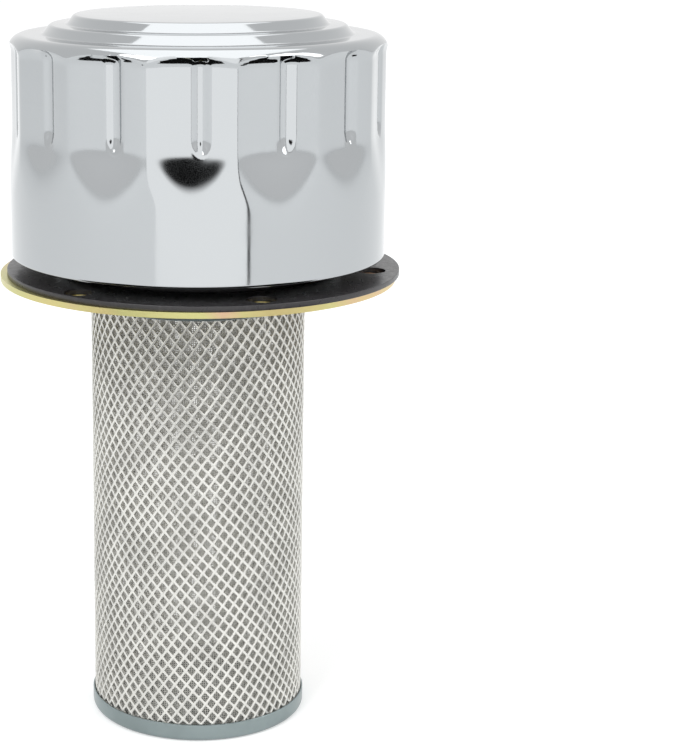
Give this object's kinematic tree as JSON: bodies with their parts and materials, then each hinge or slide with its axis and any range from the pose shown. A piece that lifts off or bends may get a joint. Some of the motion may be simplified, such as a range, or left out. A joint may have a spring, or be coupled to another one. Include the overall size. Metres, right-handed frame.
{
  "type": "hydraulic filler breather",
  "caption": "Tank-top filler breather: chromed fluted bayonet cap with a pleated air element over a round bolt-down flange, with a mesh filling strainer below.",
  "frame": {"origin": "middle of the mounting flange's underside, in the plane of the tank top", "axes": "+Z out of the tank along the strainer's and cap's common axis; the gasket lies off centre towards +X"},
  "size_m": [0.0838, 0.083, 0.1509],
  "materials": {
    "chrome_shell": "bright chrome plate over drawn steel",
    "zinc_cup": "clear zinc plate over pressed steel",
    "seal_rubber": "moulded nitrile rubber",
    "filter_paper": "resin-treated pleated filter paper",
    "zinc_steel": "clear zinc plate on stamped steel",
    "spring_steel": "oiled spring steel",
    "yellow_zinc": "yellow chromated zinc plate on stamped steel",
    "gasket_rubber": "glossy die-cut rubber",
    "mesh_steel": "galvanised expanded steel",
    "cloth_steel": "woven steel wire cloth",
    "end_cap_steel": "blue zinc plate on rolled steel"
  },
  "bodies": {
    "flange_body": {"mounting_flange": "yellow_zinc", "gasket": "gasket_rubber", "strainer_collar": "end_cap_steel", "strainer_mesh": "mesh_steel", "strainer_liner": "cloth_steel", "strainer_end_cap": "end_cap_steel"},
    "seal_body": {"cap_seal": "seal_rubber"},
    "cap_body": {"cap_shell": "chrome_shell", "inner_cup": "zinc_cup", "element_pleats": "filter_paper", "element_bottom_ring": "zinc_steel", "element_top_plate": "zinc_steel", "element_core": "zinc_steel", "hold_down_spring": "spring_steel", "bayonet_plate": "spring_steel", "bayonet_rivets": "zinc_steel"}
  },
  "joints": [
    {"name": "cap_lift", "type": "slide", "parent": "flange_body", "child": "seal_body", "axis": [0, 0, 1], "range_m": [0, 0.06]},
    {"name": "cap_turn", "type": "hinge", "parent": "seal_body", "child": "cap_body", "pos_m": [0, 0, 0], "axis": [0, 0, 1], "range_deg": [-60, 0]}
  ]
}
